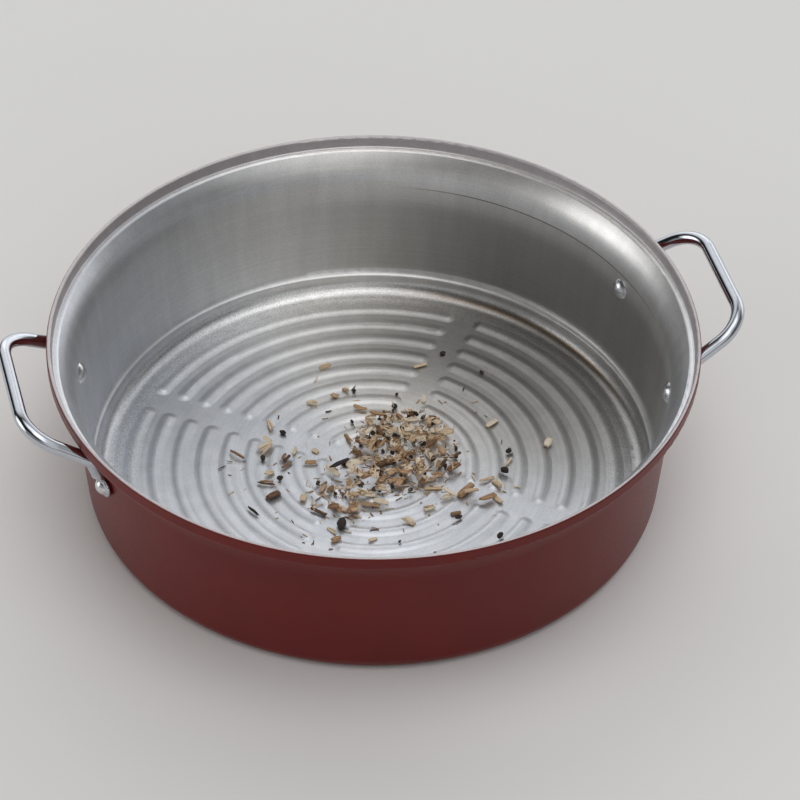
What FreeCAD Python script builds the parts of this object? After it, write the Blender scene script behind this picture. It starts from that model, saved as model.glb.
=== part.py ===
import FreeCAD, Part
import math
import os
import random

# Open pan of a round stovetop smoker: a pressed aluminium shell with a stepped seat for a lid,
# a base stamped with concentric ribs in four sectors, two bent rod handles riveted to the wall,
# and the smoking wood that lies on the base.
# Millimetres. +Z is up, the handles lie along X, and the origin is the middle of the underside.

# ---- shell
rim_diameter = 327.0        # over the rim's edge
pan_height = 92.0
sheet = 2.3                 # wall and base
rim_round = 1.0             # each side of the rim's edge
lip_height = 6.2            # from the rim down to the lid seat
lip_taper = 0.5             # the lip leans in this much towards its foot
seat_round = 0.8            # inside bend at the lip's foot
seat_width = 2.2            # flat ledge for a lid's edge
seat_edge_round = 2.8       # the ledge turns down into the flare over this bend
flare_width = 7.3           # from the ledge in to the wall's line
flare_lean = 45.0           # degrees from upright, at the ledge
flare_round = 27.2          # the flare turns slowly down into the wall
wall_draft = 4.7            # degrees, the wall leans out towards the rim
inner_corner = 8.6          # cove from the wall's foot to the base
outer_corner = 8.4
foot_wall = 1.2             # straight wall between the cove and the step above it
foot_step = 2.4             # the wall's foot stands in from the wall by this
foot_step_fall = 1.4        # height over which it steps in
foot_step_bend = 4.0        # where the wall turns on to the step
foot_step_edge = 1.2        # where the step turns down again

# ---- ribs of the base: arcs in four sectors, raised inside and hollow underneath
plain_ring = 3.9            # flat between the corner's cove and the outermost rib
plain_centre = 36.0         # plain disc in the middle, no rib comes inside it
rib_pitch = 12.35
rib_width = 10.2            # from foot to foot, where the rib runs out into the base
rib_height = 1.1
spoke_width = 9.4           # plain strip between two sectors
spoke_angle = 53.0          # degrees from the handle axis to the first strip
sectors = 4
rib_sink = 0.02             # ribs start this far inside the base, to cut it cleanly
rib_keel = 0.5              # and have this much body below that

# ---- handles
rod_diameter = 7.0
grip_reach = 22.5           # outside of the grip beyond the rim's edge
handle_rise = 2.0           # middle of the grip above the rim
grip_length = 77.0          # between the turns of the grip, before rounding
grip_bend = 20.0
root_spacing = 88.4         # between the rod's two roots, under the lip
root_bend = 6.0             # bend where the rod leaves the wall
root_out = 2.4              # there the rod stands off the wall's line, clear of the flare
root_run = 9.5              # height over which it leans out so far
root_lean_bend = 10.0
lip_clearance = 0.4         # between the rod and the lip that it passes under
paddle_thickness = 3.0      # flattened end of the rod: a disc, its edge fully rounded
paddle_margin = 1.8         # of the disc round the rivet's head
head_clearance = 0.2        # flat rod above the rivet's head
neck_width = 6.2            # flat strip that joins the disc to the rod
neck_length = 4.3           # from the flat part up to the round rod
neck_spare = 0.1            # round rod between the neck and the bend
neck_swell = 0.45           # share of the swelling done halfway up the neck
neck_flat = 25.0            # degrees of the round rod that the strip's two sides turn into
leg_samples = 200           # places along the leg where its room under the lip is measured
root_tolerance = 0.001      # how closely the rod's root is set under the lip

# ---- rivets
shank_diameter = 5.0
hole_clearance = 0.05
head_diameter = 8.8         # outer head, on the handle
head_height = 2.8
inner_head_diameter = 11.6  # head inside the pan
inner_head_height = 3.2
head_skirt = 0.8            # the inner head is made this much thicker, then trimmed to the wall
hole_reach = 10.0           # the rivet holes are drilled this far to each side of the wall

# ---- smoking wood
rest_gap = 0.05             # wood above what it lies on
chip_length = (4.0, 9.5)
chip_width = (2.0, 4.6)
chip_thickness = (0.9, 1.9)
grain_size = (2.2, 4.4)
heap_seed = 11
heaps = [                   # centre, half widths along X and Y
    ((19.0, 6.0), (26.0, 33.0)),
    ((-15.0, -17.0), (21.0, 19.0)),
    ((2.0, -2.0), (70.0, 62.0)),
]
heap_counts = [196, 62, 62]
lone_flakes = [             # node, place, length, width, thickness; then the turn in degrees
    ("brown_wood_chips", (41.0, -32.0, 11.0, 5.5, 3.0), 34),
    ("bark_grains", (-26.0, -41.0, 9.5, 6.0, 4.0), 63),
    ("bark_grains", (-68.0, -21.0, 11.0, 2.2, 1.8), 120),
    ("brown_wood_chips", (-67.0, 22.0, 9.0, 1.8, 1.5), 132),
    ("light_wood_chips", (-52.0, 24.0, 8.5, 6.0, 1.8), 23),
    ("light_wood_chips", (-7.0, 80.0, 7.0, 3.0, 1.8), 11),
    ("light_wood_chips", (43.0, 69.0, 7.0, 2.2, 1.6), 6),
    ("light_wood_chips", (92.0, -7.0, 6.0, 4.5, 1.8), 46),
]
lone_grains = [             # place and size
    (57.0, 76.0, 3.6),
    (73.0, 55.0, 3.4),
    (49.0, -69.0, 4.4),
    (64.0, -23.0, 5.2),
]
heap_stick = ("bark_grains", (-18.0, -2.0, 14.0, 3.0, 2.4), 14)
bare_centre = (-3.0, -2.0)  # spot between the heaps that stays clear
bare_radius = 7.0
cell_size = 0.4             # grid on which the wood's tops are remembered
roll_choices = 5            # a piece rolls to the lowest of so many spots
loose_seat = 0.5            # a piece held no nearer than this from below rolls away

same_point = 1e-6           # what counts as no distance, or as no turn


def vector(r, z):
    return FreeCAD.Vector(r, 0, z)


def rounded_wire(points, radii, closed=False):
    """Straight runs through the points, each corner rounded by its own radius."""
    count = len(points)
    corners = range(count) if closed else range(1, count - 1)
    starts, ends, arcs = list(points), list(points), {}
    for i in corners:
        radius = radii[i]
        if radius <= 0:
            continue
        here = points[i]
        back = (points[i - 1] - here).normalize()
        ahead = (points[(i + 1) % count] - here).normalize()
        angle = back.getAngle(ahead)
        if math.pi - angle < same_point:
            continue
        run = radius / math.tan(angle / 2)
        middle = (back + ahead).normalize()
        centre = here + middle * (radius / math.sin(angle / 2))
        starts[i] = here + back * run
        ends[i] = here + ahead * run
        arcs[i] = Part.Arc(starts[i], centre - middle * radius, ends[i]).toShape()
    edges = []
    for i in range(count):
        if i in arcs:
            edges.append(arcs[i])
        following = (i + 1) % count
        if following == 0 and not closed:
            break
        if (ends[i] - starts[following]).Length > same_point:
            edges.append(Part.makeLine(ends[i], starts[following]))
    return Part.Wire(Part.__sortEdges__(edges))


# ---- the shell's cross-section, from the rim down to the middle of the base
draft = math.radians(wall_draft)
rim_radius = rim_diameter / 2
seat_height = pan_height - lip_height
lip_foot_radius = rim_radius - sheet - lip_taper
seat_edge_radius = lip_foot_radius - seat_width
wall_top_radius = seat_edge_radius - flare_width


def wall_radius(z):
    """Inner radius of the drafted wall at a height."""
    return wall_top_radius - (seat_height - z) * math.tan(draft)


def outer_wall_radius(z):
    return wall_radius(z) + sheet / math.cos(draft)


under_seat = seat_height - sheet
lip_round = seat_round + sheet
foot_radius = wall_radius(sheet) - foot_step
cove_run = inner_corner * math.tan((math.pi / 2 - draft) / 2)
step_foot = sheet + cove_run + foot_wall
step_top = step_foot + foot_step_fall


lean = math.radians(flare_lean)
flare_fall = flare_width / (math.tan(lean) - math.tan(draft))
flare_corner = vector(seat_edge_radius - flare_fall * math.tan(lean), seat_height - flare_fall)


def outer_corner_of(point, lower, upper):
    """An inside corner's place on the outer skin, from how far its two runs lean over."""
    out = sheet / math.cos((upper - lower) / 2)
    middle = (upper + lower) / 2
    return vector(point.x + out * math.cos(middle), point.z - out * math.sin(middle))


def shell_blank():
    """The shell with a plain base and no holes: its section, turned about Z."""
    inside = [
        (vector(rim_radius - sheet, pan_height), rim_round),
        (vector(lip_foot_radius, seat_height), seat_round),
        (vector(seat_edge_radius, seat_height), seat_edge_round),
        (flare_corner, flare_round),
        (vector(wall_radius(step_top), step_top), foot_step_bend),
        (vector(wall_radius(step_foot) - foot_step, step_foot), foot_step_edge),
        (vector(foot_radius, sheet), inner_corner),
        (vector(0, sheet), 0),
    ]
    outside = [
        (vector(0, 0), 0),
        (vector(outer_wall_radius(0), 0), outer_corner),
        (outer_corner_of(flare_corner, draft, lean), flare_round - sheet),
        (outer_corner_of(vector(seat_edge_radius, seat_height), lean, math.pi / 2),
         seat_edge_round - sheet),
        (vector(rim_radius, under_seat), lip_round),
        (vector(rim_radius, pan_height), rim_round),
    ]
    corners = inside + outside
    section = rounded_wire([c[0] for c in corners], [c[1] for c in corners], closed=True)
    return Part.Face(section).revolve(FreeCAD.Vector(0, 0, 0), FreeCAD.Vector(0, 0, 1), 360)


# ---- ribs: four equal arcs from foot to foot, so that each runs smoothly out of the base
rib_round = (rib_width ** 2 / 4 + rib_height ** 2) / (4 * rib_height)


def rib_radii():
    """Centrelines of the rings, from the outermost in as long as a rib still fits."""
    radius = foot_radius - cove_run - plain_ring - rib_width / 2
    radii = []
    while radius - rib_width / 2 > plain_centre / 2 and rib_half_sweep(radius) > 0:
        radii.append(radius)
        radius -= rib_pitch
    return radii


def rib_half_sweep(radius):
    """Half the angle that a rib's centreline covers, between the plain strips."""
    clear = spoke_width / 2 + rib_width / 2
    return math.pi / sectors - math.asin(min(1.0, clear / radius))


def rib_middle(sector):
    return math.radians(spoke_angle) + (sector + 0.5) * 2 * math.pi / sectors


def rib_rise(away):
    """Height of a rib's skin at a distance from its centreline."""
    if away < rib_width / 4:
        return rib_height - rib_round + math.sqrt(rib_round ** 2 - away ** 2)
    if away < rib_width / 2:
        return rib_round - math.sqrt(rib_round ** 2 - (rib_width / 2 - away) ** 2)
    return 0.0


def rib_flank(radius, foot, side):
    """One side of the rib's section: the crest's arc, then the arc that runs out at the foot."""
    points = [vector(radius + side * away, foot + rib_rise(away))
              for away in (0, rib_width / 8, rib_width / 4, 3 * rib_width / 8, rib_width / 2)]
    return [Part.Arc(*points[:3]).toShape(), Part.Arc(*points[2:]).toShape()]


def rib_section(radius, level, near, far):
    """Face across a rib between two distances from its centreline, with its keel."""
    foot = level - rib_sink
    edges = [edge for side in (near, far) if side for edge in rib_flank(radius, foot, side)]
    bottom = foot - rib_keel
    start = vector(radius + near * rib_width / 2, bottom)
    end = vector(radius + far * rib_width / 2, bottom)
    edges.append(Part.makeLine(start, end))
    for side, low in ((near, start), (far, end)):
        edges.append(Part.makeLine(low, vector(low.x, foot + (0 if side else rib_height))))
    return Part.Face(Part.Wire(Part.__sortEdges__(edges)))


def rib_bead(radius, half_sweep, level):
    """A raised arc with a rounded end: its section turned about Z, and half the section
    turned about the middle of each end."""
    up = FreeCAD.Vector(0, 0, 1)
    centre = FreeCAD.Vector(0, 0, 0)
    arc = rib_section(radius, level, -1, 1).revolve(centre, up, math.degrees(2 * half_sweep))
    arc.rotate(centre, up, -math.degrees(half_sweep))
    caps = []
    for side in (-1, 1):
        cap = rib_section(radius, level, 0, 1).revolve(vector(radius, 0), up, side * 180)
        cap.rotate(centre, up, side * math.degrees(half_sweep))
        caps.append(cap)
    return arc.fuse(caps)


def place_ribs(level):
    beads = []
    for radius in rib_radii():
        bead = rib_bead(radius, rib_half_sweep(radius), level)
        for sector in range(sectors):
            copy = bead.copy()
            copy.rotate(FreeCAD.Vector(0, 0, 0), FreeCAD.Vector(0, 0, 1),
                        math.degrees(rib_middle(sector)))
            beads.append(copy)
    return beads


# ---- where the rod leaves the wall: as high as it can and still pass under the lip
paddle_width = head_diameter + 2 * paddle_margin
paddle_top = head_diameter / 2 + head_clearance
neck_top = paddle_top + neck_length
rod_radius = rod_diameter / 2
grip_x = rim_radius + grip_reach - rod_radius
grip_z = pan_height + handle_rise
root_azimuth = math.asin(root_spacing / 2 / (outer_wall_radius(under_seat) + rod_radius))


def root_corner(z):
    """Where the rod's line up the wall and its line out to the grip meet, at a height."""
    radius = outer_wall_radius(z) + (rod_radius + root_out) / math.cos(draft)
    return FreeCAD.Vector(
        radius * math.cos(root_azimuth), radius * math.sin(root_azimuth), z)


def leg_room(z):
    """Nearest that the leg's centreline from that corner comes to the lip's lower round."""
    start = root_corner(z)
    run = FreeCAD.Vector(grip_x, grip_length / 2, grip_z) - start
    points = [start + run * (k / leg_samples) for k in range(leg_samples + 1)]
    return min(math.hypot(math.hypot(p.x, p.y) - rim_radius + lip_round,
                          p.z - under_seat - lip_round) for p in points)


def highest_root():
    """Halves the span between the rod's own thickness under the lip and the base."""
    low, high = 0.0, under_seat
    while high - low > root_tolerance:
        middle = (low + high) / 2
        if leg_room(middle) > lip_round + rod_radius + lip_clearance:
            low = middle
        else:
            high = middle
    return low


root_height = highest_root()
lean_up = neck_top + neck_spare + root_lean_bend * math.tan(math.atan(root_out / root_run) / 2)
root_up = lean_up + root_run

# ---- rivet positions: each has a frame on the outer wall, with the wall's own lean
rivet_height = (root_height - root_up * math.cos(draft)
                + (rod_radius + root_out) * math.sin(draft))
rivet_wall_radius = outer_wall_radius(rivet_height)


class WallFrame:
    """Point on the outer wall with the directions out of, along and up the wall."""

    def __init__(self, azimuth):
        c, s = math.cos(azimuth), math.sin(azimuth)
        self.origin = FreeCAD.Vector(rivet_wall_radius * c, rivet_wall_radius * s, rivet_height)
        self.out = FreeCAD.Vector(c * math.cos(draft), s * math.cos(draft), -math.sin(draft))
        self.side = FreeCAD.Vector(-s, c, 0)
        self.up = FreeCAD.Vector(c * math.sin(draft), s * math.sin(draft), math.cos(draft))

    def point(self, out, side, up):
        return self.origin + self.out * out + self.side * side + self.up * up

    def placement(self):
        """Turns local X to the side, Y up the wall and Z out of it."""
        turn = FreeCAD.Rotation(self.side, self.up, self.out, "ZXY")
        return FreeCAD.Placement(self.origin, turn)


def rivet_hole(frame):
    radius = shank_diameter / 2 + hole_clearance
    start = frame.point(-hole_reach, 0, 0)
    return Part.makeCylinder(radius, 2 * hole_reach, start, frame.out)


def handle(direction):
    """One rod: flattened and punched at each end, bent out from the wall and round the grip."""
    facing = 0 if direction > 0 else math.pi
    frames = [WallFrame(facing - root_azimuth), WallFrame(facing + root_azimuth)]
    grip_y = direction * grip_length / 2
    path_points = [
        frames[0].point(rod_radius, 0, neck_top),
        frames[0].point(rod_radius, 0, lean_up),
        frames[0].point(rod_radius + root_out, 0, root_up),
        FreeCAD.Vector(direction * grip_x, -grip_y, grip_z),
        FreeCAD.Vector(direction * grip_x, grip_y, grip_z),
        frames[1].point(rod_radius + root_out, 0, root_up),
        frames[1].point(rod_radius, 0, lean_up),
        frames[1].point(rod_radius, 0, neck_top),
    ]
    bends = [0, root_lean_bend, root_bend, grip_bend]
    path = rounded_wire(path_points, bends + bends[::-1])
    section = Part.Wire(Part.makeCircle(rod_radius, path_points[0], frames[0].up))
    solid = path.makePipeShell([section], True, False)
    for frame in frames:
        solid = solid.fuse([paddle(frame), neck(frame)])
    for frame in frames:
        solid = solid.cut(rivet_hole(frame))
    return solid.removeSplitter()


def rod_section(frame, up, swell):
    """Closed section of the rod's end: a flat strip at swell 0, the round rod at swell 1.
    Two sides and two rounded edges, its back always on the wall."""
    strip_edge = paddle_thickness / 2
    strip_flat = neck_width / 2 - strip_edge
    flat_share = math.radians(neck_flat)

    def corner(turn, on_strip):
        round_point = (rod_radius * math.cos(turn), rod_radius + rod_radius * math.sin(turn))
        side, out = [a + (b - a) * swell for a, b in zip(on_strip, round_point)]
        return frame.point(out, side, up)

    top = math.pi / 2
    back_right = corner(-top + flat_share, (strip_flat, 0))
    front_right = corner(top - flat_share, (strip_flat, paddle_thickness))
    front_left = corner(top + flat_share, (-strip_flat, paddle_thickness))
    back_left = corner(-top - flat_share, (-strip_flat, 0))
    right = corner(0, (strip_flat + strip_edge, strip_edge))
    left = corner(math.pi, (-strip_flat - strip_edge, strip_edge))
    front = corner(top, (0, paddle_thickness))
    back = corner(-top, (0, 0))
    edges = [Part.Arc(back_right, right, front_right).toShape()]
    edges.append(side_edge(front_right, front, front_left, swell))
    edges.append(Part.Arc(front_left, left, back_left).toShape())
    edges.append(side_edge(back_left, back, back_right, swell))
    return Part.Wire(edges)


def side_edge(start, middle, end, swell):
    if swell == 0:
        return Part.makeLine(start, end)
    return Part.Arc(start, middle, end).toShape()


def paddle(frame):
    """Flat end of the rod: a disc round the rivet, and the start of the strip above it."""
    strip = Part.Face(rod_section(frame, 0, 0)).extrude(frame.up * paddle_top)
    edge = paddle_thickness / 2
    reach = paddle_width / 2 - edge
    profile = Part.Wire([
        Part.makeLine(frame.point(0, 0, 0), frame.point(0, reach, 0)),
        Part.Arc(frame.point(0, reach, 0), frame.point(edge, reach + edge, 0),
                 frame.point(paddle_thickness, reach, 0)).toShape(),
        Part.makeLine(frame.point(paddle_thickness, reach, 0),
                      frame.point(paddle_thickness, 0, 0)),
        Part.makeLine(frame.point(paddle_thickness, 0, 0), frame.point(0, 0, 0)),
    ])
    disc = Part.Face(profile).revolve(frame.origin, frame.out, 360)
    return strip.fuse(disc)


def neck(frame):
    """Where the flattened end swells into the round rod."""
    levels = [(0, 0), (0.5, neck_swell), (1, 1)]
    sections = [rod_section(frame, paddle_top + neck_length * share, swell)
                for share, swell in levels]
    return Part.makeLoft(sections, True, True)


def dome(level, towards, diameter, height):
    """Rivet head: the cap of a ball, its flat side at the level on the rivet's axis."""
    ball = (diameter ** 2 / 4 + height ** 2) / (2 * height)
    centre = level + towards * (height - ball)
    cap = Part.makeSphere(ball, FreeCAD.Vector(0, 0, centre))
    low = level if towards > 0 else level - height
    return cap.common(Part.makeCylinder(diameter, height, FreeCAD.Vector(0, 0, low)))


def inside_of_wall():
    """What lies within the wall's inner surface, for a head's height below and above the rivets."""
    low, high = rivet_height - inner_head_diameter, rivet_height + inner_head_diameter
    return Part.makeCone(
        wall_radius(low), wall_radius(high), high - low, FreeCAD.Vector(0, 0, low))


def rivet(frame):
    """Shank through the handle and the wall, with a domed head on each side."""
    radius = shank_diameter / 2
    inner_end = sheet + inner_head_height / 2
    shank = Part.makeCylinder(
        radius, inner_end + paddle_thickness, FreeCAD.Vector(0, 0, -inner_end))
    outer_head = dome(paddle_thickness, 1, head_diameter, head_height)
    skirt = Part.makeCylinder(
        inner_head_diameter / 2, head_skirt, FreeCAD.Vector(0, 0, -sheet))
    inner_head = dome(-sheet, -1, inner_head_diameter, inner_head_height).fuse(skirt)
    for piece in (shank, outer_head, inner_head):
        piece.Placement = frame.placement().multiply(piece.Placement)
    seated_head = inner_head.common(inside_of_wall())
    return shank.fuse([outer_head, seated_head]).removeSplitter()


# ---- smoking wood
def base_height(x, y):
    """Height of the base's upper face, ribs included."""
    radius, azimuth = math.hypot(x, y), math.atan2(y, x)
    height = sheet
    for ring in rib_radii():
        if abs(radius - ring) > rib_width / 2 + rib_pitch:
            continue
        half_sweep = rib_half_sweep(ring)
        for sector in range(sectors):
            turned = (azimuth - rib_middle(sector) + math.pi) % (2 * math.pi) - math.pi
            held = max(-half_sweep, min(half_sweep, turned))
            away = math.sqrt(max(0.0, radius ** 2 + ring ** 2
                                 - 2 * radius * ring * math.cos(turned - held)))
            height = max(height, sheet + rib_rise(away))
    return height


class Pile:
    """Wood dropped on the base piece by piece; each rests on the highest thing under it."""

    def __init__(self):
        self.chance = random.Random(heap_seed)
        self.bare = {}
        self.tops = {}
        self.firm_tops = {}
        self.nodes = {"light_wood_chips": [], "brown_wood_chips": [], "bark_grains": []}

    def ground(self, cell):
        if cell not in self.bare:
            self.bare[cell] = base_height(cell[0] * cell_size, cell[1] * cell_size)
        return self.bare[cell]

    def top(self, cell):
        """Highest that anything in or beside the cell reaches."""
        return self.tops.get(cell, self.ground(cell))

    def firm_top(self, cell):
        """Highest thing that really lies in the cell."""
        return self.firm_tops.get(cell, self.ground(cell))

    def cells_under(self, corners, spare):
        """Grid cells that a convex outline covers, with some room to spare round it."""
        sides = []
        for (x, y), (ahead_x, ahead_y) in zip(corners, corners[1:] + corners[:1]):
            length = math.hypot(ahead_x - x, ahead_y - y)
            sides.append((x, y, (ahead_y - y) / length, (x - ahead_x) / length))
        columns = [round(c[0] / cell_size) for c in corners]
        rows = [round(c[1] / cell_size) for c in corners]
        cells = []
        for i in range(min(columns) - 1, max(columns) + 2):
            for j in range(min(rows) - 1, max(rows) + 2):
                x, y = i * cell_size, j * cell_size
                beyond = max((x - a) * out_x + (y - b) * out_y for a, b, out_x, out_y in sides)
                if beyond < spare:
                    cells.append((i, j))
        return cells

    def drop(self, node, corners, levels):
        """A piece lofted through its outline: each level is a share of the outline's size
        and a height above the bed."""
        middle_x = sum(c[0] for c in corners) / len(corners)
        middle_y = sum(c[1] for c in corners) / len(corners)

        def outline(share):
            return [(middle_x + (x - middle_x) * share, middle_y + (y - middle_y) * share)
                    for x, y in corners]

        cells = self.cells_under(corners, cell_size)
        bed = max(self.top(cell) for cell in cells)
        foot = self.cells_under(outline(levels[0][0]), 0)
        if bed - max(self.firm_top(cell) for cell in foot) > loose_seat:
            return
        bed += rest_gap
        for cell in cells:
            self.tops[cell] = bed + levels[-1][1]
        for cell in self.cells_under(outline(levels[-1][0]), 0):
            self.firm_tops[cell] = bed + levels[-1][1]
        rings = []
        for share, height in levels:
            ring = [FreeCAD.Vector(x, y, bed + height) for x, y in outline(share)]
            rings.append(Part.makePolygon(ring + ring[:1]))
        self.nodes[node].append(Part.makeLoft(rings, True, True))

    def flake(self, node, x, y, length, width, thickness, turn):
        """A split flake: four uneven sides, a little smaller at the top."""
        c, s = math.cos(turn), math.sin(turn)
        corners = []
        for end, side in ((-1, -1), (1, -1), (1, 1), (-1, 1)):
            a = end * length / 2 * self.chance.uniform(0.75, 1.0)
            b = side * width / 2 * self.chance.uniform(0.6, 1.0)
            corners.append((x + a * c - b * s, y + a * s + b * c))
        self.drop(node, corners, [(1.0, 0), (self.chance.uniform(0.86, 0.95), thickness)])

    def grain(self, x, y, size):
        """A nub of bark: six-sided, widest low down."""
        turn = self.chance.uniform(0, math.pi)
        stretch = self.chance.uniform(0.65, 1.0)
        corners = []
        for k in range(6):
            a = size / 2 * math.cos(k * math.pi / 3)
            b = size / 2 * math.sin(k * math.pi / 3) * stretch
            corners.append((x + a * math.cos(turn) - b * math.sin(turn),
                            y + a * math.sin(turn) + b * math.cos(turn)))
        height = size * self.chance.uniform(0.6, 0.85)
        self.drop("bark_grains", corners, [(0.92, 0), (1.0, 0.2 * height), (0.6, height)])

    def scatter(self, centre, reach, count):
        """Pieces of all kinds, thickest towards the middle of the heap."""
        chance = self.chance
        for number in range(count):
            spots = []
            while len(spots) < roll_choices:
                turn = chance.uniform(0, 2 * math.pi)
                away = chance.uniform(0.02, 1.0) ** 0.7
                x = centre[0] + reach[0] * away * math.cos(turn)
                y = centre[1] + reach[1] * away * math.sin(turn)
                if math.hypot(x - bare_centre[0], y - bare_centre[1]) > bare_radius:
                    height = self.top((round(x / cell_size), round(y / cell_size)))
                    spots.append((height, x, y))
            x, y = min(spots)[1:]
            if number % 4 == 1:
                self.grain(x, y, chance.uniform(*grain_size))
                continue
            node = "brown_wood_chips" if number % 4 == 3 else "light_wood_chips"
            self.flake(node, x, y, chance.uniform(*chip_length), chance.uniform(*chip_width),
                       chance.uniform(*chip_thickness), chance.uniform(0, math.pi))


def smoking_wood():
    """The few large pieces that lie apart, then the heaps with strays round them."""
    pile = Pile()
    for node, sizes, turn in lone_flakes:
        pile.flake(node, *sizes, math.radians(turn))
    for place_and_size in lone_grains:
        pile.grain(*place_and_size)
    for (centre, reach), count in zip(heaps, heap_counts):
        pile.scatter(centre, reach, count)
    node, sizes, turn = heap_stick
    pile.flake(node, *sizes, math.radians(turn))
    return pile.nodes


# ---- build and write
pan = shell_blank().fuse(place_ribs(sheet)).cut(place_ribs(0))
rivet_azimuths = {
    "right_rear_rivet": root_azimuth,
    "right_front_rivet": -root_azimuth,
    "left_rear_rivet": math.pi - root_azimuth,
    "left_front_rivet": math.pi + root_azimuth,
}
pan = pan.cut([rivet_hole(WallFrame(azimuth)) for azimuth in rivet_azimuths.values()])

nodes = {"pan": pan, "right_handle": handle(1), "left_handle": handle(-1)}
first_rivet = rivet(WallFrame(-root_azimuth))
for name, azimuth in rivet_azimuths.items():
    nodes[name] = first_rivet.copy()
    nodes[name].rotate(FreeCAD.Vector(0, 0, 0), FreeCAD.Vector(0, 0, 1),
                       math.degrees(azimuth + root_azimuth))
for name, pieces in smoking_wood().items():
    nodes[name] = Part.makeCompound(pieces)

os.makedirs("parts", exist_ok=True)
for name, shape in nodes.items():
    shape.exportStep("parts/%s.step" % name)
    print(name, "solids", len(shape.Solids), "valid", shape.isValid(),
          "volume %.0f" % shape.Volume)
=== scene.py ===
import math
import random

import bmesh
import bpy
from mathutils import Matrix, Vector
from mathutils.bvhtree import BVHTree


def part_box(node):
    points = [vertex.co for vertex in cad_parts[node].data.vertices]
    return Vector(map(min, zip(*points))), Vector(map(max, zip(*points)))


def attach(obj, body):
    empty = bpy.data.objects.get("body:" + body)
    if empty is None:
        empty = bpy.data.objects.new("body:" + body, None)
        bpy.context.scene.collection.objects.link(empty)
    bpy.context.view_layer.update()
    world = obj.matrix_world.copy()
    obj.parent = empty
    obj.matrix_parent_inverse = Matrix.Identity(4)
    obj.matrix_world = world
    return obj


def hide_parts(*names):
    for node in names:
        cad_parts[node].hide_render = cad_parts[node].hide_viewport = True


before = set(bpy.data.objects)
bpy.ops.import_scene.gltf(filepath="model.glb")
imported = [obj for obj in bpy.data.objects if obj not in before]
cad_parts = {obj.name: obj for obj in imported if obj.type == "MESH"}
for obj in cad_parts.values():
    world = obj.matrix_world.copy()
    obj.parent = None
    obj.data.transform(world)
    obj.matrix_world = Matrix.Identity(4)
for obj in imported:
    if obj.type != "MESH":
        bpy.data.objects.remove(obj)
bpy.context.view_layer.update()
MM = 0.001


# ---- Pan
# One deep-drawn aluminium shell with a stepped rim. The outside is sprayed with a satin
# brick-red enamel that stops on the rim's edge; the inside is left bare, and use has
# dulled it and tinted the foot of the cove round the base. Painted shade darkens one side
# of the wall low down, and a painted shade line follows a fine turned groove.

def srgb(code):
    """Linear colour from an sRGB hex value."""
    parts = [int(code[i:i + 2], 16) / 255 for i in (1, 3, 5)]
    return [c / 12.92 if c <= 0.04045 else ((c + 0.055) / 1.055) ** 2.4 for c in parts] + [1.0]


def wire(tree, node, inputs):
    """Sets a node's inputs, each to a plain value, a socket or a node's first live output."""
    for name, value in inputs.items():
        if isinstance(value, bpy.types.Node):
            value = next(socket for socket in value.outputs if socket.enabled)
        if isinstance(value, bpy.types.NodeSocket):
            tree.links.new(value, node.inputs[name])
        else:
            node.inputs[name].default_value = value


def add(tree, kind, inputs=None, **settings):
    """A shader node with its settings and links."""
    made = tree.nodes.new("ShaderNode" + kind)
    for name, value in settings.items():
        setattr(made, name, value)
    wire(tree, made, inputs or {})
    return made


def new_material(name):
    """A material with its node tree and its shader."""
    material = bpy.data.materials.new(name)
    material.use_nodes = True
    return material, material.node_tree, material.node_tree.nodes["Principled BSDF"]


def dress(piece, material):
    piece.data.materials.clear()
    piece.data.materials.append(material)


ENAMEL = "#701b15"
ENAMEL_DULL = "#611a16"
BARE = "#e1e4e9"
BARE_DULL = "#d6d9dd"
BARE_HEATED = "#e7e5e1"
# painted shade for the dark side low on the wall
WALL_SHADE = "#9d9b98"
HEAT_TINT = "#a5845e"
# painted shade of a fine turned groove round the wall
GROOVE_SHADE = "#6f6c6a"
LIP_BARE = "#d0cacb"
GRIT = 0.7 * MM              # blasted grain, drawn coarser than it is so that it shows
CLOUD = 26 * MM              # width of the clouds where the metal is dull
TURNING = 0.9 * MM           # spacing of the turning marks, drawn coarser than it is
WIPE_WIDTH = 8 * MM          # width of the streaks that wiping left down the wall
WIPE_DRAWN_OUT = 0.08        # and how short their height counts, so that they run long
PEEL = 1.1 * MM              # orange peel of the sprayed enamel
GRIT_DEPTH = 0.08 * MM
NOISE_LOW, NOISE_HIGH = 0.3, 0.7     # nearly all of a noise lies between these
HEATED_SIDE = (0.64, 0.77, 0.0)
# the side of the wall that the painted shade lies on
WALL_SHADE_SIDE = (0.82, 0.57, 0.0)

# where each finish starts and where it is complete: radii and heights on the pan
EDGE_IN = (0.35 * MM, 0.6 * MM)      # the bare metal starts this far inside the rim's edge
BLASTED_OUT = (119 * MM, 126 * MM)   # the speckled ring outside the ribs
BLASTED_DOWN = (9 * MM, 6 * MM)
TINT_OUT = (127 * MM, 130 * MM)      # the line of heat tint along the foot of the cove
TINT_HEIGHT, TINT_HALF = 4.2 * MM, 1.7 * MM
COVE_OUT = (130 * MM, 134 * MM)      # the cove, burnished by the punch
COVE_DOWN = (12 * MM, 9 * MM)
COARSE_OUT = (128 * MM, 134 * MM)    # the grain is coarsest on the cove
GRAIN_UP = (10 * MM, 22 * MM)        # and grows finer up the wall
WALL_SHADE_OUT = (35 * MM, 95 * MM)       # painted shade, darkest low on one side of the wall
WALL_SHADE_DOWN = (68 * MM, 52 * MM)
SHADE_GAP_HEIGHT, SHADE_GAP_HALF = 11 * MM, 7 * MM     # the painted shade is mostly kept off the cove
GROOVE_SHADE_HEIGHT, GROOVE_SHADE_HALF = 67.5 * MM, 0.5 * MM     # painted shade along a fine turned groove round the wall
FLARE_UP = (64 * MM, 72 * MM)        # the flare above the wall is turned smoother
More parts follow.
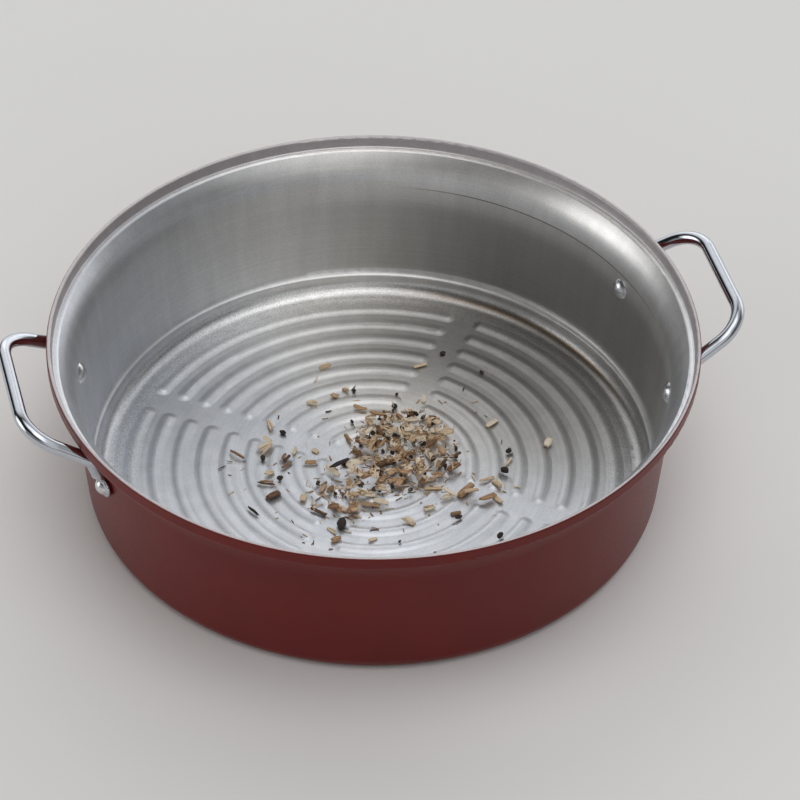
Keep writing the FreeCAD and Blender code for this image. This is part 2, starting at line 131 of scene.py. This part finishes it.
LIP_HEIGHT, LIP_BEND = 6.4 * MM, 0.8 * MM     # the upright lip that a lid sits in

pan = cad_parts["pan"]
pan_high = Vector(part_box("pan")[1])
pan_height = pan_high.z
rim_radius = pan_high.x
lip_foot = pan_height - LIP_HEIGHT

# blasted and turned aluminium has a soft grey sheen that follows the form and mirrors nothing;
# the enamel is an even satin red with a faint orange peel
material, tree, shader = new_material("enamelled_drawn_aluminium")
place = add(tree, "TexCoord").outputs["Object"]
along_x, along_y, height = add(tree, "SeparateXYZ", {0: place}).outputs
flat_place = add(tree, "CombineXYZ", {0: along_x, 1: along_y})
radius = add(tree, "VectorMath", {0: flat_place}, operation="LENGTH")
outward = add(tree, "VectorMath", {0: flat_place}, operation="NORMALIZE")
to_heated = add(tree, "VectorMath", {0: outward, 1: HEATED_SIDE}, operation="DOT_PRODUCT")
to_wall_shade_side = add(tree, "VectorMath", {0: outward, 1: WALL_SHADE_SIDE}, operation="DOT_PRODUCT")

# inside and outside are told apart by the way the skin faces: in or up, out or down
facing = add(tree, "NewGeometry").outputs["Normal"]
facing_up = add(tree, "SeparateXYZ", {0: facing}).outputs[2]
facing_out = add(tree, "VectorMath", {0: facing, 1: outward}, operation="DOT_PRODUCT")
inwards = add(tree, "Math", {0: facing_up, 1: facing_out}, operation="SUBTRACT")
inwards = add(tree, "MapRange", {"Value": inwards, "From Min": -0.05, "From Max": 0.05},
              interpolation_type="SMOOTHSTEP")
within_edge = add(tree, "MapRange", {"Value": radius, "From Min": rim_radius - EDGE_IN[0],
                                     "From Max": rim_radius - EDGE_IN[1]})
inside = add(tree, "Math", {0: inwards, 1: within_edge}, operation="MULTIPLY")

grit = add(tree, "TexNoise", {"Vector": place, "Scale": 1 / GRIT, "Detail": 2.0})
cloud = add(tree, "TexNoise", {"Vector": place, "Scale": 1 / CLOUD, "Detail": 3.0})
peel = add(tree, "TexNoise", {"Vector": place, "Scale": 1 / PEEL, "Detail": 1.0})
turned = add(tree, "CombineXYZ", {0: radius, 1: height})
turning = add(tree, "TexNoise", {"Vector": turned, "Scale": 1 / TURNING, "Detail": 1.0})
wiped = add(tree, "VectorMath", {0: place, 1: (1.0, 1.0, WIPE_DRAWN_OUT)}, operation="MULTIPLY")
wiped = add(tree, "TexNoise", {"Vector": wiped, "Scale": 1 / WIPE_WIDTH, "Detail": 2.0})


def band(middle, half_width):
    """One on a ring of the wall at a height, nothing beyond its half width."""
    off = add(tree, "Math", {0: height, 1: middle}, operation="SUBTRACT")
    off = add(tree, "Math", {0: off}, operation="ABSOLUTE")
    return add(tree, "MapRange", {"Value": off, "From Min": half_width, "From Max": 0.0},
               interpolation_type="SMOOTHSTEP")


# the share of each finish at a place: dull clouds, a side yellowed by heat, painted shade low on
# one side, the line of heat tint, painted shade along the turned groove, the lip, the burnished
# cove, the blasted ring and the flare
dulled = add(tree, "MapRange", {"Value": cloud, "From Min": 0.25, "From Max": 0.75})
heated = add(tree, "MapRange", {"Value": to_heated, "From Min": 0.1, "From Max": 0.95})
# painted shade: darker on one side, low on the wall, mostly kept off the cove
wall_shade = add(tree, "MapRange", {"Value": to_wall_shade_side, "From Min": 0.25, "From Max": 1.0},
            interpolation_type="SMOOTHSTEP")
wall_shade_out = add(tree, "MapRange", {"Value": radius, "From Min": WALL_SHADE_OUT[0],
                                   "From Max": WALL_SHADE_OUT[1]}, interpolation_type="SMOOTHSTEP")
wall_shade_down = add(tree, "MapRange", {"Value": height, "From Min": WALL_SHADE_DOWN[0],
                                    "From Max": WALL_SHADE_DOWN[1], "To Max": 0.75},
                 interpolation_type="SMOOTHSTEP")
off_cove = add(tree, "MapRange", {"Value": band(SHADE_GAP_HEIGHT, SHADE_GAP_HALF), "To Min": 1.0,
                                  "To Max": 0.2})
for share in (wall_shade_out, wall_shade_down, off_cove):
    wall_shade = add(tree, "Math", {0: wall_shade, 1: share}, operation="MULTIPLY")
tint_side = add(tree, "MapRange", {"Value": to_wall_shade_side, "From Min": 0.82, "From Max": 0.97,
                                   "To Max": 0.6})
tint_out = add(tree, "MapRange", {"Value": radius, "From Min": TINT_OUT[0],
                                  "From Max": TINT_OUT[1]})
tint = band(TINT_HEIGHT, TINT_HALF)
for share in (tint_side, tint_out):
    tint = add(tree, "Math", {0: tint, 1: share}, operation="MULTIPLY")
# painted shade along the groove, on one side of the wall only
groove_shade_side = add(tree, "MapRange", {"Value": to_wall_shade_side, "From Min": 0.8, "From Max": 0.95})
groove_shade = add(tree, "Math", {0: band(GROOVE_SHADE_HEIGHT, GROOVE_SHADE_HALF), 1: groove_shade_side},
            operation="MULTIPLY")
on_lip = add(tree, "MapRange", {"Value": height, "From Min": lip_foot,
                                "From Max": lip_foot + LIP_BEND})
below_lip = add(tree, "MapRange", {"Value": on_lip, "To Min": 1.0, "To Max": 0.0})
cove_out = add(tree, "MapRange", {"Value": radius, "From Min": COVE_OUT[0],
                                  "From Max": COVE_OUT[1]})
cove_down = add(tree, "MapRange", {"Value": height, "From Min": COVE_DOWN[0],
                                   "From Max": COVE_DOWN[1]})
on_cove = add(tree, "Math", {0: cove_out, 1: cove_down}, operation="MULTIPLY")
ring_out = add(tree, "MapRange", {"Value": radius, "From Min": BLASTED_OUT[0],
                                  "From Max": BLASTED_OUT[1]})
ring_down = add(tree, "MapRange", {"Value": height, "From Min": BLASTED_DOWN[0],
                                   "From Max": BLASTED_DOWN[1]})
on_ring = add(tree, "Math", {0: ring_out, 1: ring_down}, operation="MULTIPLY")
flare_up = add(tree, "MapRange", {"Value": height, "From Min": FLARE_UP[0],
                                  "From Max": FLARE_UP[1]})
on_flare = add(tree, "Math", {0: flare_up, 1: below_lip}, operation="MULTIPLY")

# colour of the bare metal: one finish over the other, two of them painted shade, then the grain,
# the turning marks and the streaks of wiping lighten and darken it a little
bare = srgb(BARE)
for share, colour in ((dulled, BARE_DULL), (heated, BARE_HEATED), (wall_shade, WALL_SHADE),
                      (tint, HEAT_TINT), (groove_shade, GROOVE_SHADE), (on_lip, LIP_BARE)):
    bare = add(tree, "Mix", {"Factor": share, "A": bare, "B": srgb(colour)}, data_type="RGBA")
fleck = add(tree, "MapRange", {"Value": grit, "From Min": NOISE_LOW, "From Max": NOISE_HIGH,
                               "To Min": 0.9, "To Max": 1.06})
speckle = add(tree, "MapRange", {"Value": grit, "From Min": NOISE_LOW, "From Max": NOISE_HIGH,
                                 "To Min": 0.74, "To Max": 1.2})
turning_marks = add(tree, "MapRange", {"Value": turning, "From Min": NOISE_LOW,
                                       "From Max": NOISE_HIGH, "To Min": 0.95, "To Max": 1.03})
streaks = add(tree, "MapRange", {"Value": wiped, "From Min": 0.35, "From Max": 0.65,
                                 "To Min": 0.95, "To Max": 1.03})
marks = add(tree, "Mix", {"Factor": on_ring, "A": fleck, "B": speckle})
for more in (turning_marks, streaks):
    marks = add(tree, "Math", {0: marks, 1: more}, operation="MULTIPLY")
bare = add(tree, "VectorMath", {0: bare, "Scale": marks}, operation="SCALE")
enamel = add(tree, "Mix", {"Factor": cloud, "A": srgb(ENAMEL), "B": srgb(ENAMEL_DULL)},
             data_type="RGBA")
skin = add(tree, "Mix", {"Factor": inside, "A": enamel, "B": bare}, data_type="RGBA")

bare_rough = add(tree, "MapRange", {"Value": grit, "From Min": NOISE_LOW,
                                    "From Max": NOISE_HIGH, "To Min": 0.4, "To Max": 0.48})
for share, roughness in ((on_lip, 0.55), (on_cove, 0.3), (on_flare, 0.38)):
    bare_rough = add(tree, "Mix", {"Factor": share, "A": bare_rough, "B": roughness})
enamel_rough = add(tree, "MapRange", {"Value": peel, "From Min": NOISE_LOW,
                                      "From Max": NOISE_HIGH, "To Min": 0.32, "To Max": 0.4})
rough = add(tree, "Mix", {"Factor": inside, "A": enamel_rough, "B": bare_rough})

relief = add(tree, "Mix", {"Factor": inside, "A": peel, "B": grit})
grain = add(tree, "MapRange", {"Value": radius, "From Min": COARSE_OUT[0],
                               "From Max": COARSE_OUT[1], "To Min": 0.25, "To Max": 0.4})
grain = add(tree, "Mix", {"Factor": inside, "A": 0.2, "B": grain})
grain_up = add(tree, "MapRange", {"Value": height, "From Min": GRAIN_UP[0],
                                  "From Max": GRAIN_UP[1], "To Min": 1.0, "To Max": 0.45})
grain = add(tree, "Math", {0: grain, 1: grain_up}, operation="MULTIPLY")
bump = add(tree, "Bump", {"Height": relief, "Strength": grain, "Distance": GRIT_DEPTH})
wire(tree, shader, {"Base Color": skin, "Metallic": inside, "Roughness": rough,
                    "Specular IOR Level": 0.25, "Normal": bump})
dress(pan, material)
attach(pan, "root")


# ---- Handles
# Two 7 mm steel rods, bent to a loop, flattened and punched at the ends, then polished and
# chrome plated: a mirror with faint wipe marks.

CHROME = "#c9cdd4"
WIPE_MARK = 2.5 * MM         # width of the marks that wiping left on the plating

material, tree, shader = new_material("chrome_plated_rod")
place = add(tree, "TexCoord").outputs["Object"]
wipes = add(tree, "TexNoise", {"Vector": place, "Scale": 1 / WIPE_MARK, "Detail": 3.0})
rough = add(tree, "MapRange", {"Value": wipes, "From Min": 0.35, "From Max": 0.75,
                               "To Min": 0.04, "To Max": 0.09})
shade = add(tree, "MapRange", {"Value": wipes, "From Min": 0.3, "From Max": 0.8,
                               "To Min": 1.0, "To Max": 0.9})
colour = add(tree, "VectorMath", {0: srgb(CHROME)[:3], "Scale": shade}, operation="SCALE")
wire(tree, shader, {"Base Color": colour, "Roughness": rough, "Metallic": 1.0})
for name in ("left_handle", "right_handle"):
    dress(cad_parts[name], material)
    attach(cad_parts[name], "root")


# ---- Rivets
# Four aluminium rivets that hold the handles' flattened ends to the wall. They are closed
# cold, so both heads are domed, faintly dented and slightly matt.

RIVET = "#dcdcdd"
HAMMER_MARK = 1.2 * MM       # width of the dents that closing left on the heads
HAMMER_DEPTH = 0.1 * MM

material, tree, shader = new_material("cold_closed_aluminium")
place = add(tree, "TexCoord").outputs["Object"]
dents = add(tree, "TexNoise", {"Vector": place, "Scale": 1 / HAMMER_MARK, "Detail": 2.0})
shade = add(tree, "MapRange", {"Value": dents, "From Min": NOISE_LOW, "From Max": NOISE_HIGH,
                               "To Min": 0.88, "To Max": 1.0})
colour = add(tree, "VectorMath", {0: srgb(RIVET)[:3], "Scale": shade}, operation="SCALE")
rough = add(tree, "MapRange", {"Value": dents, "To Min": 0.18, "To Max": 0.34})
bump = add(tree, "Bump", {"Height": dents, "Strength": 0.12, "Distance": HAMMER_DEPTH})
wire(tree, shader, {"Base Color": colour, "Roughness": rough, "Metallic": 1.0,
                    "Normal": bump})
for name in ("left_rear_rivet", "left_front_rivet", "right_rear_rivet", "right_front_rivet"):
    dress(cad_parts[name], material)
    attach(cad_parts[name], "root")


# ---- Smoking wood: pale chips
# Dry hardwood split along the grain into flakes and splinters, which lie loose in a heap. Each
# takes the place, size and turn of one solid of the frame, and gets torn ends, a twist and a tilt.

PALE_DARK = "#8c6a4a"
PALE_MIDDLE = "#d2b28c"
PALE_LIGHT = "#f3e5cd"
PALE_TONES = (0.3, 1.05)     # how dark and how light a piece may be between the three
FIBRE = 0.5 * MM             # width of a bundle of fibres, drawn coarser so that it shows
FIBRE_RUN = 6.0              # how much longer than wide it is
FIBRE_DEPTH = 0.2 * MM
STATIONS = 4                 # cross-sections along a splinter
BOW = 0.07                   # how far it may bow, as a share of its length
TWIST = 0.35                 # and how far it may twist from end to end, in radians
WANDER = 0.04                # how unevenly its cross-sections follow one another
UNDERCUT = 0.9               # width of its underside, as a share of that of its top
CREST = (0.7, 1.0)           # heights of its ridges, as shares of its thickness
CHIPPED = (0.85, 1.0)        # and how much of that is left from place to place
WORN = (0.4, 1.0)            # the outermost ridges are worn lower
TAPER = (0.6, 1.0)           # its width at the ends, as a share of that in the middle
SLIVERS = (1, 1, 1, 2)       # one flake in four has split in two
TORN = (0.03, 0.08, 0.2)     # length of the teeth at its ends, as a share of its own
OWN_WIDTH = (0.8, 1.1)       # size of a flake, as shares of that of the solid it stands for
OWN_THICKNESS = 0.8
FIRST_LENGTH = 1.1
SECOND_LENGTH = (0.6, 1.0)
SPLAY = 0.2                  # turn of two slivers apart, in radians
SECOND_LIFT = 0.3            # how far the second one lies up on the first


def solids_of(node):
    """The corners of each separate solid in a CAD node."""
    shell = bmesh.new()
    shell.from_mesh(node.data)
    bmesh.ops.remove_doubles(shell, verts=shell.verts, dist=0.01 * MM)
    left = set(shell.verts)
    groups = []
    for start in shell.verts:
        if start not in left:
            continue
        left.discard(start)
        group = [start]
        for vertex in group:
            for edge in vertex.link_edges:
                other = edge.other_vert(vertex)
                if other in left:
                    left.discard(other)
                    group.append(other)
        groups.append([vertex.co.copy() for vertex in group])
    shell.free()
    return sorted(groups, key=lambda g: (round(g[0].x, 6), round(g[0].y, 6)))


class WoodMesh:
    """Collects pieces of wood in one mesh, with each piece's own tone and grain direction."""

    def __init__(self, name):
        self.name = name
        self.points, self.faces, self.tones, self.fibres = [], [], [], []

    def take(self, points, faces, turn, middle, bed, tone):
        """Adds a piece given in its own axes: turned, moved to its place and laid on its bed."""
        turned = [turn @ p for p in points]
        lift = bed - min(p.z for p in turned)
        start = len(self.points)
        self.points += [p + Vector((middle.x, middle.y, lift)) for p in turned]
        self.faces += [[start + k for k in face] for face in faces]
        self.tones += [tone] * len(points)
        # the grain starts elsewhere on each piece, so that no two show the same
        shift = Vector((tone * 0.37, tone * 0.11, 0.0))
        self.fibres += [p + shift for p in points]

    def finish(self, material, slot, *replaced):
        mesh = bpy.data.meshes.new(self.name)
        mesh.from_pydata(self.points, [], self.faces)
        tone = mesh.attributes.new("tone", "FLOAT", "POINT")
        tone.data.foreach_set("value", self.tones)
        fibre = mesh.attributes.new("fibre", "FLOAT_VECTOR", "POINT")
        fibre.data.foreach_set("vector", [c for p in self.fibres for c in p])
        mesh.validate()
        piece = bpy.data.objects.new(self.name, mesh)
        bpy.context.scene.collection.objects.link(piece)
        dress(piece, material)
        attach(piece, "root")
        if replaced:
            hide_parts(*replaced)
        return piece


def splinter(chance, length, width, thickness, torn, ridges=4):
    """A flat split piece lying along X: sharp ridges along the fibres, ends torn in teeth."""
    points, faces = [], []
    bow = chance.uniform(-BOW, BOW) * length
    twist = chance.uniform(-TWIST, TWIST)
    rows = ridges + 1
    teeth = [[chance.uniform(0.0, torn) * length for _ in range(rows)] for _ in range(2)]
    crest = [chance.uniform(*CREST) for _ in range(rows)]
    crest[0] *= chance.uniform(*WORN)
    crest[-1] *= chance.uniform(*WORN)
    taper = [chance.uniform(*TAPER), 1.0, 1.0, chance.uniform(*TAPER)]
    for layer in (1.0, 0.0):
        for i in range(STATIONS):
            share = i / (STATIONS - 1)
            for k in range(rows):
                first = -length / 2 + teeth[0][k]
                last = length / 2 - teeth[1][k]
                x = first + (last - first) * share + chance.uniform(-WANDER, WANDER) * length
                y = (k / ridges - 0.5) * width * taper[i]
                y *= 1.0 if layer else UNDERCUT
                z = layer * thickness * crest[k] * chance.uniform(*CHIPPED)
                z += bow * (2 * share - 1) ** 2 + twist * y * (share - 0.5)
                points.append(Vector((x, y, z)))
    under = STATIONS * rows

    def at(i, k, base):
        return base + i * rows + k

    end = STATIONS - 1
    for i in range(end):
        for k in range(ridges):
            quad = (i, k), (i + 1, k), (i + 1, k + 1), (i, k + 1)
            faces.append([at(a, b, 0) for a, b in quad])
            faces.append([at(a, b, under) for a, b in quad[::-1]])
        faces.append([at(i, 0, 0), at(i, 0, under), at(i + 1, 0, under), at(i + 1, 0, 0)])
        faces.append([at(i, ridges, 0), at(i + 1, ridges, 0),
                      at(i + 1, ridges, under), at(i, ridges, under)])
    for k in range(ridges):
        faces.append([at(0, k, 0), at(0, k + 1, 0), at(0, k + 1, under), at(0, k, under)])
        faces.append([at(end, k, 0), at(end, k, under),
                      at(end, k + 1, under), at(end, k + 1, 0)])
    return points, faces


def lying(corners):
    """Length, width, thickness, turn, middle and bed of a flat solid from its corners."""
    bed = min(c.z for c in corners)
    top = max(c.z for c in corners)
    foot = [c for c in corners if c.z - bed < (top - bed) * 0.3]
    middle = sum(foot, Vector()) / len(foot)
    spread = [(c.x - middle.x, c.y - middle.y) for c in foot]
    turn = 0.5 * math.atan2(2 * sum(x * y for x, y in spread),
                            sum(x * x - y * y for x, y in spread))
    along = [x * math.cos(turn) + y * math.sin(turn) for x, y in spread]
    across = [y * math.cos(turn) - x * math.sin(turn) for x, y in spread]
    return (max(along) - min(along), max(across) - min(across), top - bed, turn, middle, bed)


def tilted(chance, turn, roll, pitch):
    """Rotation of a piece that lies at an angle on what is under it."""
    return (Matrix.Rotation(turn, 3, "Z")
            @ Matrix.Rotation(chance.uniform(-pitch, pitch), 3, "Y")
            @ Matrix.Rotation(chance.uniform(-roll, roll), 3, "X"))


def split_flakes(wood, chance, solids, tones):
    """Each solid becomes one flake, or two slivers that lie along one another."""
    for corners in solids:
        length, width, thickness, turn, middle, bed = lying(corners)
        slivers = chance.choice(SLIVERS)
        across = Vector((-math.sin(turn), math.cos(turn), 0.0))
        for k in range(slivers):
            own_width = width / slivers * chance.uniform(*OWN_WIDTH)
            own_length = length * (FIRST_LENGTH if k == 0 else chance.uniform(*SECOND_LENGTH))
            off = across * width * ((k + 0.5) / slivers - 0.5)
            own_turn = turn + (chance.uniform(-SPLAY, SPLAY) if slivers > 1 else 0.0)
            lift = thickness * SECOND_LIFT * k
            points, faces = splinter(chance, own_length, own_width, thickness * OWN_THICKNESS,
                                     chance.choice(TORN))
            lie = tilted(chance, own_turn, roll=0.3, pitch=0.12)
            wood.take(points, faces, lie, middle + off, bed + lift, chance.uniform(*tones))


def split_wood_material(name, dark, middle, light, roughness):
    """Raw split wood, matt and streaked: fibres run along each piece, which has its own tone."""
    material, tree, shader = new_material(name)
    tone = add(tree, "Attribute", attribute_name="tone").outputs["Fac"]
    fibre = add(tree, "Attribute", attribute_name="fibre").outputs["Vector"]
    drawn = add(tree, "VectorMath", {0: fibre, 1: (1 / FIBRE_RUN, 1.0, 1.0)},
                operation="MULTIPLY")
    grain = add(tree, "TexNoise", {"Vector": drawn, "Scale": 1 / FIBRE, "Detail": 3.0})
    shade = add(tree, "Math", {0: grain, 1: -0.5}, operation="ADD")
    shade = add(tree, "Math", {0: shade, 1: 1.1, 2: tone}, operation="MULTIPLY_ADD")
    ramp = add(tree, "ValToRGB", {"Fac": shade})
    ramp.color_ramp.elements[0].color = srgb(dark)
    ramp.color_ramp.elements[1].color = srgb(light)
    ramp.color_ramp.elements.new(0.45).color = srgb(middle)
    bump = add(tree, "Bump", {"Height": grain, "Strength": 0.6, "Distance": FIBRE_DEPTH})
    wire(tree, shader, {"Base Color": ramp, "Roughness": roughness, "Normal": bump})
    return material


chance = random.Random(5)
pale_wood = split_wood_material("split_pale_hardwood", PALE_DARK, PALE_MIDDLE, PALE_LIGHT,
                                roughness=0.7)
pale = WoodMesh("pale_chips")
split_flakes(pale, chance, solids_of(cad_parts["light_wood_chips"]), PALE_TONES)
pale_chips = pale.finish(pale_wood, "light_wood", "light_wood_chips")


# ---- Smoking wood: brown chips
# Flakes and splinters split in the same way from the heart of the log, so they are of the
# same hardwood but reddish brown. They lie loose among the pale ones.

BROWN_DARK = "#3b2a21"
BROWN_MIDDLE = "#84603f"
BROWN_LIGHT = "#c8a27b"
BROWN_TONES = (0.0, 1.0)

brown_wood = split_wood_material("split_heartwood", BROWN_DARK, BROWN_MIDDLE, BROWN_LIGHT,
                                 roughness=0.65)
brown = WoodMesh("brown_chips")
split_flakes(brown, chance, solids_of(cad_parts["brown_wood_chips"]), BROWN_TONES)
brown_chips = brown.finish(brown_wood, "brown_wood", "brown_wood_chips")


# ---- Smoking wood: bark
# Nubs and sticks of nearly black bark that crumbled off the chips. Like the chips, they lie
# loose on the base and on the heap.

BARK_DARK = "#221c19"
BARK_MIDDLE = "#40352f"
BARK_LIGHT = "#7a695b"
BARK_TONES = (0.1, 0.6)
NUB_POINTS = 22
NUB_UNEVEN = (0.78, 1.1)     # how far in or out of an even ball a nub's points may lie
STICK_CORNERS = 8            # a stick is a plain block in the frame, a nub has more corners
GOLDEN_TURN = math.pi * (3 - math.sqrt(5))


def nub(chance, size, height):
    """A crumbled lump: the skin stretched over a few points of an uneven ball."""
    ball = bmesh.new()
    for k in range(NUB_POINTS):
        z = 1 - 2 * (k + 0.5) / NUB_POINTS
        around = math.sqrt(1 - z * z)
        a = k * GOLDEN_TURN + chance.uniform(-0.5, 0.5)
        out = chance.uniform(*NUB_UNEVEN)
        ball.verts.new((around * math.cos(a) * out * size[0] / 2,
                        around * math.sin(a) * out * size[1] / 2, z * out * height / 2))
    bmesh.ops.convex_hull(ball, input=ball.verts)
    bmesh.ops.delete(ball, geom=[v for v in ball.verts if not v.link_faces], context="VERTS")
    ball.verts.index_update()
    points = [v.co.copy() for v in ball.verts]
    faces = [[v.index for v in face.verts] for face in ball.faces]
    ball.free()
    return points, faces


bark_material = split_wood_material("crumbled_bark", BARK_DARK, BARK_MIDDLE, BARK_LIGHT,
                                    roughness=0.8)
bark = WoodMesh("bark_pieces")
for corners in solids_of(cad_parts["bark_grains"]):
    length, width, thickness, turn, middle, bed = lying(corners)
    if len(corners) <= STICK_CORNERS:
        points, faces = splinter(chance, length, width, thickness, torn=0.12)
    else:
        points, faces = nub(chance, (length, width), thickness * 0.95)
    lie = tilted(chance, turn, roll=0.25, pitch=0.15)
    bark.take(points, faces, lie, middle, bed, chance.uniform(*BARK_TONES))
bark_pieces = bark.finish(bark_material, "bark", "bark_grains")


# ---- Smoking wood: crumbs
# Fine slivers and dust of the same wood, pale and brown, that fell from the chips and lie
# loose on the base and on the heap.

CRUMBS = 860
CRUMB_LENGTH = (0.9 * MM, 5.2 * MM)
CRUMB_WIDTH = (0.3 * MM, 0.9 * MM)
CRUMB_FLATNESS = 0.5         # thickness as a share of the width
CRUMB_TORN = 0.25
CROWDING = 0.6               # one half spreads them evenly over a patch, more heaps them up
BROWN_EVERY = 3              # one crumb in so many is brown
CRUMB_SPREAD = (   # middle, half widths along X and Y, share of the crumbs
    ((19 * MM, 5 * MM), (28 * MM, 34 * MM), 0.66),
    ((-15 * MM, -18 * MM), (26 * MM, 22 * MM), 0.22),
    ((0.0, 0.0), (80 * MM, 74 * MM), 0.12),
)

grounds = []
for piece in (pan, pale_chips, brown_chips, bark_pieces):
    corners = [vertex.co for vertex in piece.data.vertices]
    polygons = [list(face.vertices) for face in piece.data.polygons]
    grounds.append(BVHTree.FromPolygons(corners, polygons))


def surface_at(x, y):
    """Highest point and its slope under a place inside the pan."""
    above, down = Vector((x, y, pan_height)), Vector((0, 0, -1))
    hits = [ground.ray_cast(above, down) for ground in grounds]
    return max((h for h in hits if h[0] is not None), key=lambda h: h[0].z)[:2]


pale_crumbs, brown_crumbs = WoodMesh("pale_crumbs"), WoodMesh("dark_crumbs")
for middle, reach, share in CRUMB_SPREAD:
    for number in range(int(CRUMBS * share)):
        a = chance.uniform(0, 2 * math.pi)
        away = chance.random() ** CROWDING
        x = middle[0] + reach[0] * away * math.cos(a)
        y = middle[1] + reach[1] * away * math.sin(a)
        spot, slope = surface_at(x, y)
        lie = Vector((0, 0, 1)).rotation_difference(slope).to_matrix()
        turn = lie @ Matrix.Rotation(chance.uniform(0, math.pi), 3, "Z")
        length = chance.uniform(*CRUMB_LENGTH)
        width = chance.uniform(*CRUMB_WIDTH)
        points, faces = splinter(chance, length, width, width * CRUMB_FLATNESS, CRUMB_TORN,
                                 ridges=2)
        crumbs = brown_crumbs if number % BROWN_EVERY == 0 else pale_crumbs
        crumbs.take(points, faces, turn, spot, spot.z, chance.random())
pale_crumbs.finish(pale_wood, "light_wood")
brown_crumbs.finish(brown_wood, "brown_wood")


# ---- Table and studio
# A matt pale table that runs out of sight, under a dome of fourteen wide, soft, pale lamps
# that overlap, with next to no light between them. The strongest stands low on the left.

TABLE = "#f3f2ef"
TABLE_SIZE = 8.0
MOTTLE = 1 / 3.0             # width of the faint clouds on the table, in metres
LAMP_COLOUR = (0.985, 0.99, 1.0, 1.0)     # linear, a touch cool
ROOM = 0.02                  # light between the lamps
LAMPS = [                    # azimuth and height in degrees, spread in degrees, strength
    (75, 10, 32, 0.95),
    (168, 11, 27, 2.3),
    (210, 10, 32, 0.3),
    (255, 10, 32, 0.35),
    (300, 10, 32, 0.12),
    (345, 10, 32, 0.2),
    (30, 10, 32, 1.25),
    (98, 34, 32, 1.0),
    (278, 34, 32, 0.6),
    (53, 34, 32, 0.6),
    (315, 60, 30, 0.6),
    (15, 60, 30, 0.4),
    (255, 62, 22, 1.3),
    (0, 90, 30, 1.45),
]
CAMERA_AZIMUTH = math.radians(255.3)     # where the camera stands round the pan
CAMERA_HEIGHT = math.radians(41.41)      # and how far above the table's plane
CAMERA_ROLL = 0.0136                     # in radians
CAMERA_DISTANCE = 1710.6 * MM
CAMERA_SENSOR = 36.0                     # width of the sensor and focal length, both in
CAMERA_LENS = 157.5                      # millimetres as the camera wants them
AIM = Vector((0.0, -52.8 * MM, pan_height))

bpy.ops.mesh.primitive_grid_add(x_subdivisions=2, y_subdivisions=2, size=TABLE_SIZE)
table = bpy.context.object
table.name = "table"
material, tree, shader = new_material("matt_table")
place = add(tree, "TexCoord").outputs["Object"]
mottle = add(tree, "TexNoise", {"Vector": place, "Scale": 1 / MOTTLE, "Detail": 2.0})
shade = add(tree, "MapRange", {"Value": mottle, "To Min": 0.97, "To Max": 1.03})
colour = add(tree, "VectorMath", {0: srgb(TABLE)[:3], "Scale": shade}, operation="SCALE")
wire(tree, shader, {"Base Color": colour, "Roughness": 0.85})
dress(table, material)

world = bpy.data.worlds.new("studio")
bpy.context.scene.world = world
world.use_nodes = True
tree = world.node_tree
background = tree.nodes["Background"]
direction = add(tree, "TexCoord").outputs["Generated"]
glow = ROOM
for azimuth, lamp_height, spread, strength in LAMPS:
    a, e = math.radians(azimuth), math.radians(lamp_height)
    towards = (math.cos(a) * math.cos(e), math.sin(a) * math.cos(e), math.sin(e))
    lined_up = add(tree, "VectorMath", {0: direction, 1: towards}, operation="DOT_PRODUCT")
    lamp = add(tree, "MapRange", {"Value": lined_up, "To Max": strength, "From Max": 1.0,
                                  "From Min": math.cos(math.radians(spread))},
               interpolation_type="SMOOTHSTEP")
    glow = add(tree, "Math", {0: lamp, 1: glow}, operation="ADD")
wire(tree, background, {"Color": LAMP_COLOUR, "Strength": glow})

camera = bpy.data.cameras.new("camera")
camera.sensor_width = CAMERA_SENSOR
camera.lens = CAMERA_LENS
camera.clip_end = 2.5 * TABLE_SIZE
holder = bpy.data.objects.new("camera", camera)
bpy.context.scene.collection.objects.link(holder)
bpy.context.scene.camera = holder
back = Vector((math.cos(CAMERA_AZIMUTH) * math.cos(CAMERA_HEIGHT),
               math.sin(CAMERA_AZIMUTH) * math.cos(CAMERA_HEIGHT), math.sin(CAMERA_HEIGHT)))
level = Vector((0, 0, 1)).cross(back).normalized()
upright = back.cross(level)
side = level * math.cos(CAMERA_ROLL) + upright * math.sin(CAMERA_ROLL)
top = upright * math.cos(CAMERA_ROLL) - level * math.sin(CAMERA_ROLL)
turn = Matrix((side, top, back)).transposed().to_4x4()
holder.matrix_world = Matrix.Translation(AIM + back * CAMERA_DISTANCE) @ turn

bpy.context.scene.view_settings.view_transform = "Standard"
